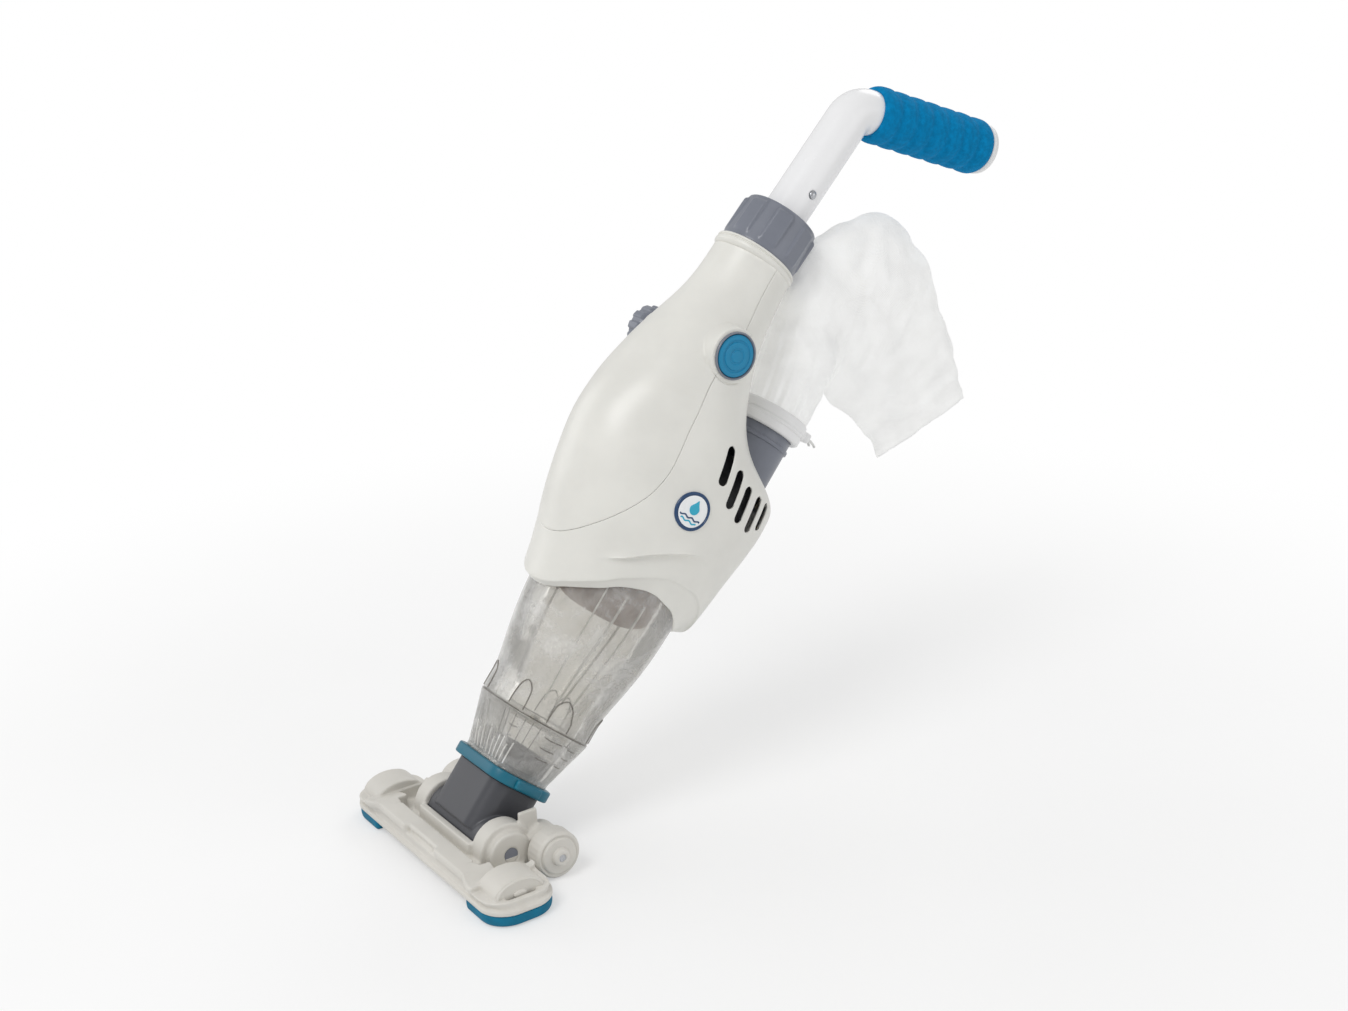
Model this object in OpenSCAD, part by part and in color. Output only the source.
// Hand-held cordless pool vacuum: floor head, clear debris cone,
// motor housing, mesh filter bag and a bent handle, as separate pieces.
// Frame: origin on the floor under the head pivot, +X to the user's right,
// +Y towards the user, +Z up.  The body leans towards the user by body_lean.
// "Front" is the -Y side and "rear" the +Y side.

/* [Stance] */
// Lean of the body behind the vertical at rest, degrees
body_lean = 40.4; // [36:0.2:44]
// Height of the head pivot above the floor
pivot_h = 19; // [18.8:0.1:19.4]

/* [Handle] */
// Outside diameter of the handle tube
tube_od = 32; // [31.6:0.1:32]
// Wall of the handle tube
tube_wall = 1.6; // [1.2:0.1:2]
// Angle between the straight leg and the grip leg
bend_deg = 65; // [55:1:70]
// Length of the soft grip
grip_len = 108; // [90:1:112]
// Outside diameter of the grip ridges
grip_od = 41; // [39:0.5:42]

/* [Housing] */
// Wall of the moulded covers
wall = 2.4; // [2:0.1:2.8]
// Radius of the power button
button_r = 14.6; // [12:0.1:14.8]

/* [Cone and neck] */
// Wall of the clear cone
cone_wall = 2.2; // [1.8:0.1:2.4]
// Half width of the neck box
neck_a = 30; // [29.4:0.1:30]
// Half depth of the neck box
neck_b = 21.5; // [21:0.1:21.5]

/* [Head] */
// Half width of the base flange
head_w = 107; // [104:1:110]
// Radius of the rear wheels
wheel_r = 16.5; // [16:0.1:16.5]
// Height of the soft end pads
pad_h = 7.8; // [7:0.1:7.8]

/* [Hidden] */
$fn = 48;

// Places in the body frame (z runs up the body axis)
neck_at = [0, -32, 434];    // foot of the handle axis
handle_tilt = 4.4;          // lean of the handle axis behind the body axis
button_at = [0, -40, 361];  // on the centre line of the button and the charge port
motor_y = -8;
motor_z = 262;
outlet_y = 50;
outlet_r = 22;
outlet_bore_r = 19.6;

// ---------- shared shapes ----------
module zcyl(r, z, h) translate([0, 0, z]) cylinder(r = r, h = h);
module xcyl(r, x0, x1, y = 0, z = 0)
  translate([x0, y, z]) rotate([0, 90, 0]) cylinder(r = r, h = x1 - x0);
// cylinder along X between two distances from the middle; side 1 is right, -1 left
module side_cyl(side, r, inner, outer, y = 0, z = 0)
  xcyl(r, side > 0 ? inner : -outer, side > 0 ? outer : -inner, y, z);
module cyl_pair(r, inner, outer, y = 0, z = 0)
  for (side = [-1, 1]) side_cyl(side, r, inner, outer, y, z);
module box(at, size) translate(at) cube(size);
// a box on the right and its twin on the left
module box_pair(at, size) {
  box(at, size);
  box([-at.x - size.x, at.y, at.z], size);
}
module slab(z, h) translate([0, 0, z]) linear_extrude(h) children();
module tube(outer, inner, h, z = 0) slab(z, h) difference() {
  circle(outer);
  circle(inner);
}
module round_rect(half_x, half_y, corner_r) {
  square([2 * (half_x - corner_r), 2 * half_y], center = true);
  square([2 * half_x, 2 * (half_y - corner_r)], center = true);
  for (x = [-1, 1], y = [-1, 1])
    translate([x * (half_x - corner_r), y * (half_y - corner_r)]) circle(corner_r);
}
function signed_pow(v, power) = sign(v) * pow(abs(v), power);
function superellipse(half_x, half_y, squareness, sides) = [for (j = [0:sides-1])
  let (angle = 360 * j / sides)
  [half_x * signed_pow(cos(angle), 2 / squareness),
   half_y * signed_pow(sin(angle), 2 / squareness)]];

// Faces of stacked rings; a ring is known by the index of its first point
function band(low, high, sides) = [for (j = [0:sides-1]) let (k = (j + 1) % sides)
  each [[low + j, high + j, low + k], [low + k, high + j, high + k]]];
function bands(first, rings, sides) = [for (i = [0:rings-2])
  each band(first + i * sides, first + (i + 1) * sides, sides)];
function capped_bands(rings, sides) = concat(
  [[for (j = [0:sides-1]) j]],
  bands(0, rings, sides),
  [[for (j = [sides-1:-1:0]) (rings - 1) * sides + j]]);
function flip(faces) = [for (face = faces) [for (i = [len(face)-1:-1:0]) face[i]]];

// ---------- frames ----------
module body_frame() translate([0, 0, pivot_h]) rotate([-body_lean, 0, 0]) children();
module neck_frame() translate(neck_at) rotate([-handle_tilt, 0, 0]) children();
module handle_frame() body_frame() neck_frame() children();
module grip_frame()
  handle_frame() translate([0, 0, corner]) rotate([-bend_deg, 0, 0]) children();
// turn 90 points z to the right, -90 to the left
module control_frame(turn = 0)
  body_frame() translate(button_at) rotate([0, turn, 0]) children();
module motor_axis(z = 0) translate([0, motor_y, z]) children();
module outlet_axis() translate([0, outlet_y, 0]) children();

// ---------- housing ----------
// sections: [z, half width, half depth, centre y]
housing_sections = [
  [160, 56.0, 59.5, 0.5], [178, 57.4, 62.8, 0.5], [200, 58.8, 69, 0], [230, 60, 77.6, -2.6],
  [255, 60.6, 83.6, -3.2], [272, 60.8, 86.6, -4], [288, 60.4, 87, -5], [299, 59.2, 81, -10.5],
  [306, 57.8, 71, -18], [314, 56.2, 62.6, -25.6], [330, 52.4, 52, -31.8],
  [347, 47.6, 45.6, -34.6], [362, 44, 40, -35], [376, 40.6, 35.4, -34.4],
  [390, 35.4, 32.8, -32.8], [404, 31.8, 31.6, -31.8], [418, 30.2, 30.4, -31.8],
  [430, 29.8, 29.8, -32]];
// parting line between the covers: [y, z]
seam = [[-76,150], [-73,186], [-69,199], [-63.6,213], [-56,229], [-50,242], [-45.5,255],
  [-43.4,271], [-44.4,288], [-46.4,308], [-47,328], [-45,346], [-41,362], [-37,378], [-34,396],
  [-32,440]];
seam_gap = 0.06;  // from the parting line to each cover
// region under the wavy lower lip: [y, z]
lip = [[-100,100], [-100,164], [-62,165.4], [-54,175], [-47,181], [-40,187], [-33.5,193.4],
  [-21,201.6], [-11,206.6], [2,211], [22,211.4], [37,207.6], [46,202], [55,193], [60,185.4],
  [68,182], [100,181], [100,100]];
// bosses for button and charge port: [side, outside radius, bore radius, face distance]
bosses = [[1, 19.4, 15.2, 47.4], [-1, 16.6, 12.2, 45.8]];
// upright slots in the flanks of the rear cover: [y, z, length between end centres]
slots = [[-7.6,295.4,20], [7.9,285.2,20], [22.2,280,19], [37.8,279,19], [50.8,282,13]];
slot_w = 5.2;
case_screw_x = 44;
case_screw_z = 262;
socket_r = 22;     // upper sleeve of the handle socket

// solid through the housing sections, grown by offset_r
module housing_loft(offset_r = 0, sides = 40)
  polyhedron([for (row = housing_sections, j = [0:sides-1]) let (angle = 360 * j / sides)
    [(row[1] + offset_r) * cos(angle), row[3] + (row[2] + offset_r) * sin(angle), row[0]]],
    capped_bands(len(housing_sections), sides), convexity = 6);
// extrudes a [y, z] outline across the body
module across() rotate([90, 0, 90]) slab(-90, 180) children();
// everything in front of (-1) or behind (1) the seam
module seam_half(side) across() polygon(concat([[side * 120, 140]],
  [for (p = seam) [p.x + side * seam_gap, p.y]], [[side * 120, 440]]));
module boss(side, r, inner, outer) translate(button_at) side_cyl(side, r, inner, outer);
module at_case_screws(y = 0, turn = -90) for (side = [-1, 1])
  translate([side * case_screw_x, y, case_screw_z]) rotate([turn, 0, 0]) children();

module shell_body() difference() {
  union() {
    housing_loft();
    for (b = bosses) boss(b[0], b[1], 30, b[3]);
  }
  // cavity, leaving the bosses and the screw posts
  difference() {
    housing_loft(-wall);
    for (b = bosses) boss(b[0], b[1], 40.2, 60);
    at_case_screws() zcyl(4.6, -80, 160);
  }
  for (b = bosses) {
    boss(b[0], b[2], 20, 60);
    boss(b[0], b[1], b[3], 60);
  }
  across() polygon(lip);
  neck_frame() zcyl(45, -3.26, 20);
  at_case_screws() {
    zcyl(1.55, -54, 36);
    zcyl(3.1, -24, 110);
  }
}
module front_cover() color("ivory") body_frame() intersection() {
  shell_body();
  seam_half(-1);
}
module rear_cover() color("ivory") body_frame() difference() {
  intersection() {
    shell_body();
    seam_half(1);
  }
  outlet_axis() zcyl(outlet_r + 0.6, 262, 90);
  for (slot = slots, start = [-80, 20])
    translate([0, slot[0], slot[1]]) rotate([-10, 0, 0]) rotate([0, 90, 0]) slab(start, 60) {
      square([slot[2], slot_w], center = true);
      for (end = [-1, 1]) translate([end * slot[2] / 2, 0]) circle(slot_w / 2);
    }
}
module handle_socket() color("ivory") handle_frame() difference() {
  union() {
    zcyl(31, -3.2, 5.4);
    zcyl(socket_r, -3, 25);
    zcyl(25.2, -9, 7);
    zcyl(19.2, -42, 36);
  }
  zcyl(tube_r + 0.08, -40, 80);
}
module neck_seal() color("dimgray") handle_frame() tube(26.5, 25.3, 2.4, -6.2);
module collar_nut() color("slategray") handle_frame() difference() {
  union() {
    translate([0, 0, 2.4]) cylinder(r1 = 29, r2 = 27.2, h = 33.6);
    for (i = [0:7]) rotate([0, 0, i * 45 + 12]) box([22, -6.5, 8], [7.6, 13, 24]);
  }
  zcyl(socket_r + 0.07, 1, 23);
  zcyl(19.6, 20, 13);
  zcyl(tube_r + 0.5, 20, 20);
}
// tapered sleeve with a slit on its left
module collet_sleeve() color("gray") handle_frame() difference() {
  translate([0, 0, 24.2]) cylinder(r1 = 19.4, r2 = 18, h = 8);
  zcyl(tube_r + 0.1, 20, 20);
  box([-30, -0.6, 20], [30, 1.2, 20]);
}
module side_badge() color("steelblue") body_frame() xcyl(13.4, 60.75, 61.95, -15.6, 256.6);
module case_screws() color("silver") body_frame() at_case_screws(-24, 90) {
  zcyl(2.9, -2.1, 2.1);
  cylinder(r = 1.5, h = 27.6);
}

// ---------- handle ----------
tube_r = tube_od / 2;
bore_r = tube_r - tube_wall;
plug_r = bore_r - 0.1;    // parts that slide into the tube
plug_bore_r = 12.6;
corner = 131.5;           // neck to the corner of the two handle legs
bend_r = 17;
bend_leg = bend_r * tan(bend_deg / 2);  // corner to either end of the bend
tube_foot = -36;
grip_start = 14;          // corner to the foot of the grip
ridge_count = 7;
grip_steps = 42;
snap_z = 57.8;

module handle_tube() color("white") handle_frame() difference() {
  tube(tube_r, bore_r, corner - bend_leg - tube_foot - 0.05, tube_foot);
  xcyl(3.1, 5, 20, 0, snap_z);
}
// bend, grip leg, and the plug that enters the straight tube
module handle_bend() color("white") handle_frame()
  translate([0, bend_r, corner - bend_leg]) rotate([90, 0, 90])
  rotate([0, 0, 180 - bend_deg]) {
    rotate_extrude(angle = bend_deg) translate([bend_r, 0]) difference() {
      circle(tube_r);
      circle(bore_r);
    }
    translate([bend_r, 0, 0]) rotate([90, 0, 0])
      tube(tube_r, bore_r, grip_len + grip_start - bend_leg);
    rotate([0, 0, bend_deg]) translate([bend_r, 0, 0]) rotate([-90, 0, 0]) {
      tube(plug_r, plug_bore_r, 19, -1);
      tube(tube_r - 0.9, plug_bore_r, 2, -2.6);
    }
  }
module grip_sleeve() color("teal") grip_frame() translate([0, 0, grip_start]) {
  inner_r = tube_r + 0.05;
  length = grip_len - 0.2;
  groove = 1.3;
  end_step = 1.2;
  rotate_extrude($fn = 64) polygon(concat([[inner_r, 0]],
    [for (i = [0:grip_steps])
      [grip_od / 2 - groove * pow(abs(cos(180 * ridge_count * i / grip_steps)), 6)
        - (i == 0 || i == grip_steps ? end_step : 0), i * length / grip_steps]],
    [[inner_r, length]]));
}
module grip_end_cap() color("white") grip_frame() translate([0, 0, grip_start + grip_len])
  rotate_extrude() polygon([[0,-10], [plug_r,-10], [plug_r,0.1], [18.6,0.1], [19.2,2],
    [18.4,5], [15.4,7.6], [10,9.2], [0,9.8]]);
module snap_button() color("silver") handle_frame() {
  xcyl(3, 12, 18.4, 0, snap_z);
  xcyl(4.4, 11, 12.1, 0, snap_z);
}
// U-shaped strip inside the tube
module snap_spring() color("silver") handle_frame() {
  box([9.9, -3, 30], [0.8, 6, 32]);
  box([-13.2, -3, 30], [0.8, 6, 24]);
  box([-13.2, -3, 29.2], [23.9, 6, 0.8]);
}

// ---------- controls and battery ----------
cell_offset = 9.4;  // cell axis from the middle of the pack
pack_y = -36;
module at_cells(z) for (x = [-1, 1], y = [-1, 1])
  translate([x * cell_offset, pack_y + y * cell_offset, z]) children();

module button_bezel() color("slategray") control_frame(90) rotate_extrude()
  polygon([[15.1,38], [button_r + 0.08,38], [button_r + 0.08,47.6], [15.3,49.2], [16.6,49.4],
    [17.6,48.4], [17.6,47.5], [15.1,47.5]]);
module power_button() color("teal") control_frame(90) rotate_extrude()
  polygon([[0,40.6], [12.6,40.6], [12.6,44], [button_r,44], [button_r,48.2], [13.6,49.4],
    [11.4,49.6], [11,49.1], [9.6,49.1], [9.2,49.9], [5.4,50.1], [5,49.6], [3.6,49.6],
    [3.2,50.2], [0,50.3]]);
// three stacked rings
module button_spring() color("silver") control_frame(90) for (i = [0:2])
  translate([0, 0, 38.3 + i * 0.78]) rotate_extrude() translate([6, 0]) circle(0.36, $fn = 16);
module switch_module() color("black") control_frame() translate([24.5, -9, -9]) difference() {
  union() {
    cube([11, 18, 18]);
    xcyl(3, 11, 13.2, 9, 9);
  }
  box([-1, 7, 4], [3, 4, 10]);
}
module charge_port() color("dimgray") control_frame(-90) difference() {
  union() {
    zcyl(12.1, 30, 17);
    zcyl(14.4, 30, 3.6);
  }
  zcyl(8, 34, 20);
}
module charge_cap() color("slategray") control_frame(-90) difference() {
  union() {
    zcyl(14, 47.2, 9.6);
    for (i = [0:11]) rotate([0, 0, i * 30]) box([10, -1.7, 47.2], [5.6, 3.4, 8.4]);
    zcyl(7.92, 38, 12);
  }
  zcyl(5, 36, 16);
}
module battery_cells() color("royalblue") body_frame() at_cells(324) {
  cylinder(r = 9, h = 64);
  zcyl(3, 63.9, 1.2);
}
module battery_tray() color("dimgray") body_frame() difference() {
  box([-20.2, -56.4, 321], [40.4, 40.8, 12]);
  at_cells(323.9) cylinder(r = 9.1, h = 64);
}
module control_board() color("darkgreen") body_frame() {
  box([-15, -9.6, 322], [30, 1.6, 34]);
  box([-9, -12.6, 328], [8, 3.1, 6]);
  box([3, -12.6, 340], [6, 3.1, 10]);
}

// ---------- pump ----------
motor_r = 19;
shaft_r = 2.05;
blade_count = 7;
pump_r = 38;
pump_wall = 2.4;
pump_screw_offset = 29;  // from the motor axis, along X and along Y
low_lobe = 18;           // half width of the lower part of the outlet lobe
module at_pump_screws(z) for (x = [-1, 1], y = [-1, 1])
  translate([x * pump_screw_offset, motor_y + y * pump_screw_offset, z]) children();
// round pump chamber with a lobe reaching the outlet
module pump_plan(inset, lobe = 22.6) {
  translate([0, motor_y]) circle(pump_r - inset);
  translate([-lobe + inset, 0]) square([2 * (lobe - inset), outlet_y]);
  translate([0, outlet_y]) circle(lobe - inset);
}

module motor_can() color("silver") body_frame() motor_axis(motor_z) {
  tube(motor_r, 2.1, 54);
  tube(7, 2.1, 1.9, -1.9);
}
module motor_shaft() color("lightgray") body_frame() motor_axis() zcyl(shaft_r, 234, 76);
module shaft_seal() color("black") body_frame() motor_axis() tube(5.96, 2.12, 4, 256.1);
module impeller() color("gainsboro") body_frame() motor_axis() {
  tube(6, shaft_r, 12, 236);
  tube(33, 5.9, 2, 246);
  for (i = [0:blade_count-1]) rotate([0, 0, i * 360 / blade_count])
    box([5.5, -0.8, 238.4], [26.6, 1.6, 7.8]);
}
module pump_housing() color("slategray") body_frame() difference() {
  union() {
    slab(228, 12) pump_plan(0, low_lobe);
    slab(238, 22) pump_plan(0);
    at_pump_screws(228) cylinder(r = 4, h = 14);
    motor_axis() zcyl(21.2, 259.9, 8);
  }
  slab(227, 30) pump_plan(pump_wall, low_lobe);
  slab(240.4, 16.6) pump_plan(pump_wall);
  motor_axis() zcyl(6, 255, 6);
  motor_axis() zcyl(motor_r + 0.06, 260, 12);
  outlet_axis() zcyl(outlet_bore_r, 250, 20);
  at_pump_screws(227) cylinder(r = 1.3, h = 13);
}
module pump_cover() color("slategray") body_frame() difference() {
  union() {
    zcyl(54.4, 225.4, 2.5);
    motor_axis() tube(34, 32, 3, 227.8);
  }
  motor_axis() zcyl(17, 220, 12);
  at_pump_screws(220) cylinder(r = 1.5, h = 12);
}
module pump_screws() color("silver") body_frame() at_pump_screws(223.4) {
  cylinder(r = 2.8, h = 1.9);
  cylinder(r = 1.3, h = 14);
}
module outlet_tube() color("slategray") body_frame() outlet_axis() {
  tube(outlet_r, outlet_bore_r, 92.6, 260.1);
  tube(outlet_r + 1.4, outlet_r - 0.2, 3, 331.4);
}

// ---------- bag ----------
// limp bag: [y, z, half width in the YZ plane, half thickness along X, direction in degrees]
bag_sections = [
  [50, 354, 25.2, 25.2, 90], [48, 372, 26.5, 26, 92], [44, 394, 28, 25.6, 96],
  [40, 416, 31, 23.6, 97], [39, 438, 36, 21, 88], [46, 458, 44, 18, 62],
  [64, 470, 52, 15.4, 20], [86, 464, 54.6, 12.8, -14], [110, 451, 52.6, 10, -26],
  [138, 439, 50.4, 7, -29], [163, 425.4, 48, 4.6, -30], [182, 415, 46, 2, -31]];
bag_ring_r = outlet_r + 0.08;
cord_z = 348.4;
// two parallel cords along Y
module cord_pair(r, start, length) for (side = [-1, 1])
  translate([side * 2.2, 0, cord_z]) rotate([-90, 0, 0])
    translate([0, 0, start]) cylinder(r = r, h = length, $fn = 16);

module bag_ring() color("white") body_frame() outlet_axis() rotate_extrude()
  polygon([[bag_ring_r,335], [25.6,335], [27,336.4], [27,341.4], [25.8,342.6], [25.8,343.8],
    [27,345], [27,350], [26,351.2], [23.6,351.6], [bag_ring_r,351.6]]);
module filter_bag() color("whitesmoke") body_frame() {
  sides = 24;
  polyhedron([for (row = bag_sections, j = [0:sides-1])
    let (angle = 360 * j / sides, reach = row[2] * sin(angle))
    [row[3] * cos(angle), row[0] - sin(row[4]) * reach, row[1] + cos(row[4]) * reach]],
    flip(capped_bands(len(bag_sections), sides)), convexity = 6);
}
module drawcord() color("white") body_frame() cord_pair(0.9, 77.05, 20);
module cord_toggle() color("white") body_frame() difference() {
  box([-4.6, 80, cord_z - 3.6], [9.2, 9, 7.2]);
  cord_pair(0.98, 70, 40);
}

// ---------- cone and neck ----------
// sections: [z, half width, half depth, squareness]
cone_sections = [
  [45.2, 30.4, 22.4, 4.2], [60, 32.4, 26, 3.4], [83, 36, 31.6, 2.9], [110, 41, 38.6, 2.6],
  [140, 47.4, 46.2, 2.3], [166, 51.6, 51.4, 2.05], [196, 53, 53, 2], [222, 53.6, 53.6, 2]];
hinge_y = -16.5;
hinge_z = 84.4;
stem_a = 27.4;   // half width of the stem above the neck box
stem_b = 19.4;   // half depth of the stem
pin_r = 4.94;

module clear_cone() color([0.85, 0.88, 0.88, 0.45]) body_frame() {
  sides = 40;
  rings = len(cone_sections);
  inside = rings * sides;  // first point of the inner skin
  polyhedron([for (inset = [0, cone_wall], row = cone_sections)
    each [for (p = superellipse(row[1] - inset, row[2] - inset, row[3], sides))
      [p.x, p.y, row[0]]]],
    concat(bands(0, rings, sides), flip(bands(inside, rings, sides)),
      flip(band(0, inside, sides)), band(inside - sides, 2 * inside - sides, sides)),
    convexity = 6);
}
module cone_gasket() color("black") body_frame() tube(53.4, 50.2, 3, 222.2);
module valve_seat() color("gainsboro") body_frame() difference() {
  union() {
    slab(80, 1.6) polygon(superellipse(33, 28.3, 2.9, 48));
    box_pair([22.1, -19.4, 81.5], [3, 5.8, 5.6]);
  }
  translate([0, 1, 79]) linear_extrude(4) round_rect(20, 12.4, 5);
  xcyl(1.52, -30, 30, hinge_y, hinge_z);
}
module flap_valve() color("white") body_frame() difference() {
  union() {
    xcyl(2.5, -21.6, 21.6, hinge_y, hinge_z);
    box([-21.6, hinge_y, hinge_z - 2.5], [43.2, 31.8, 1.3]);
  }
  xcyl(1.56, -30, 30, hinge_y, hinge_z);
}
module flap_pin() color("silver") body_frame() xcyl(1.5, -25.4, 25.4, hinge_y, hinge_z);
module neck_connector() color("slategray") body_frame() difference() {
  union() {
    slab(0, 37) round_rect(neck_a, neck_b, 12);
    slab(36.9, 25.3) round_rect(stem_a, stem_b, 12.5);
    xcyl(17.6, -34, 34);
  }
  slab(-30, 100) round_rect(21.8, 14.6, 6);
  xcyl(pin_r, -40, 40);
  box([-36, -40, -40], [72, 80, 24.4]);
}
module lock_ring() color("teal") body_frame() slab(37.2, 7.8) difference() {
  round_rect(34.6, 26.2, 14);
  round_rect(stem_a + 0.15, stem_b + 0.15, 9.1);
}
module neck_o_ring() color("black") body_frame() slab(47, 2.4) difference() {
  round_rect(stem_a + 0.5, stem_b + 0.5, 12.6);
  round_rect(stem_a + 0.05, stem_b + 0.05, 12.5);
}
// pins with a notch under each outer end
module pivot_pins() color("slategray") translate([0, 0, pivot_h]) difference() {
  cyl_pair(pin_r, 22.2, 54.4);
  box_pair([50, -6, -8], [10, 12, 4.6]);
}

// ---------- head ----------
base_front = -43;
base_rear = 8.6;
hub_y = -18;       // round hubs at the ends of the head
hub_z = 17.6;
axle_y = 26.5;
axle_z = 16.5;
axle_r = 2.5;
module base_plan(inset = 0) translate([0, (base_front + base_rear) / 2])
  round_rect(head_w - inset, (base_rear - base_front) / 2 - inset, 20 - inset);
module at_head_screws() for (x = [-46, 46], y = [-31, 2]) translate([x, y, 0]) children();

module head_shell() color("ivory") difference() {
  union() {
    slab(pad_h, 4) base_plan();
    slab(pad_h + 3.9, 6) base_plan(3);
    cyl_pair(16.2, 74, 97, hub_y, hub_z);
    cyl_pair(20, 35.2, 55, 0, pivot_h);
    cyl_pair(14, 40, 54.6, axle_y, axle_z);
    box_pair([21, -40, 14], [58, 9, 10]);
    box_pair([54, -34, 10], [24, 38, 14]);
    box_pair([44, 12, 18], [3, 14, 24]);
    box([-52, -37, 10], [104, 10, 14]);
    box_pair([36, 6, 6], [16, 26, 9]);
    // low curved wall in front of the neck
    difference() {
      xcyl(22.6, -36, 36, 0, pivot_h);
      box([-60, -6, -10], [120, 60, 80]);
      box([-60, -60, 26.4], [120, 80, 40]);
    }
  }
  // room for the neck, pins, axles, hub caps and wheels
  xcyl(18.1, -34.6, 34.6, 0, pivot_h);
  cyl_pair(5, 30, 60, 0, pivot_h);
  cyl_pair(axle_r + 0.02, 44, 60, axle_y, axle_z);
  cyl_pair(9.8, 95.6, 100, hub_y, hub_z);
  box_pair([55.02, 9, -5], [24.98, 60, 60]);
  at_head_screws() {
    cylinder(r = 2.9, h = pad_h + 2);
    cylinder(r = 1.5, h = 13.9);
  }
  // mouth in the floor of the head
  slab(-40, 56) translate([0, -8]) round_rect(33, 22, 8);
  // trim the underside
  box([-120, -80, -20], [240, 160, 23]);
  difference() {
    box([-120, -80, -10], [240, 100, 10 + pad_h]);
    box([-52, base_rear, -20], [104, 60, 60]);
  }
  box([-33, -60, -1], [66, 52, pad_h + 1]);
}
module end_pads() color("teal") for (side = [-1, 1])
  linear_extrude(pad_h - 0.05) difference() {
    intersection() {
      base_plan(0.6);
      translate([side > 0 ? 66 : -120, -60]) square([54, 120]);
    }
    translate([side * 74, -16]) circle(6);
  }
module hub_caps() color("ivory") {
  cyl_pair(9.7, 95.7, 98.5, hub_y, hub_z);
  cyl_pair(4, 95.7, 99.5, hub_y, hub_z);
}
// wheel with a raised hub on its outer face
module wheel(side) translate([0, axle_y, axle_z]) difference() {
  union() {
    side_cyl(side, wheel_r, 56, 72);
    side_cyl(side, 12.6, 56, 73);
  }
  side_cyl(side, axle_r + 0.05, 50, 80);
  // groove round the hub
  difference() {
    side_cyl(side, 14, 71, 74);
    side_cyl(side, 12.6, 70, 75);
  }
}
module wheel_left() color("ivory") wheel(-1);
module wheel_right() color("ivory") wheel(1);
module wheel_axles() color("silver") cyl_pair(axle_r, 44.1, 76, axle_y, axle_z);
module axle_clips() color("ivory") for (side = [-1, 1])
  translate([side * 73.2, axle_y, axle_z]) rotate([0, side * 90, 0]) tube(4.2, axle_r, 1.8);
module head_screws() color("silver") at_head_screws() {
  zcyl(2.6, pad_h + 0.2, 1.8);
  zcyl(1.5, pad_h + 0.2, 5.6);
}

front_cover();
rear_cover();
handle_socket();
neck_seal();
collar_nut();
collet_sleeve();
handle_tube();
handle_bend();
grip_sleeve();
grip_end_cap();
snap_button();
snap_spring();
button_bezel();
power_button();
button_spring();
switch_module();
charge_port();
charge_cap();
battery_cells();
battery_tray();
control_board();
motor_can();
motor_shaft();
shaft_seal();
impeller();
pump_housing();
pump_cover();
outlet_tube();
bag_ring();
filter_bag();
drawcord();
cord_toggle();
side_badge();
case_screws();
pump_screws();
clear_cone();
cone_gasket();
valve_seat();
flap_valve();
flap_pin();
neck_connector();
lock_ring();
neck_o_ring();
pivot_pins();
head_shell();
end_pads();
hub_caps();
wheel_left();
wheel_right();
wheel_axles();
axle_clips();
head_screws();
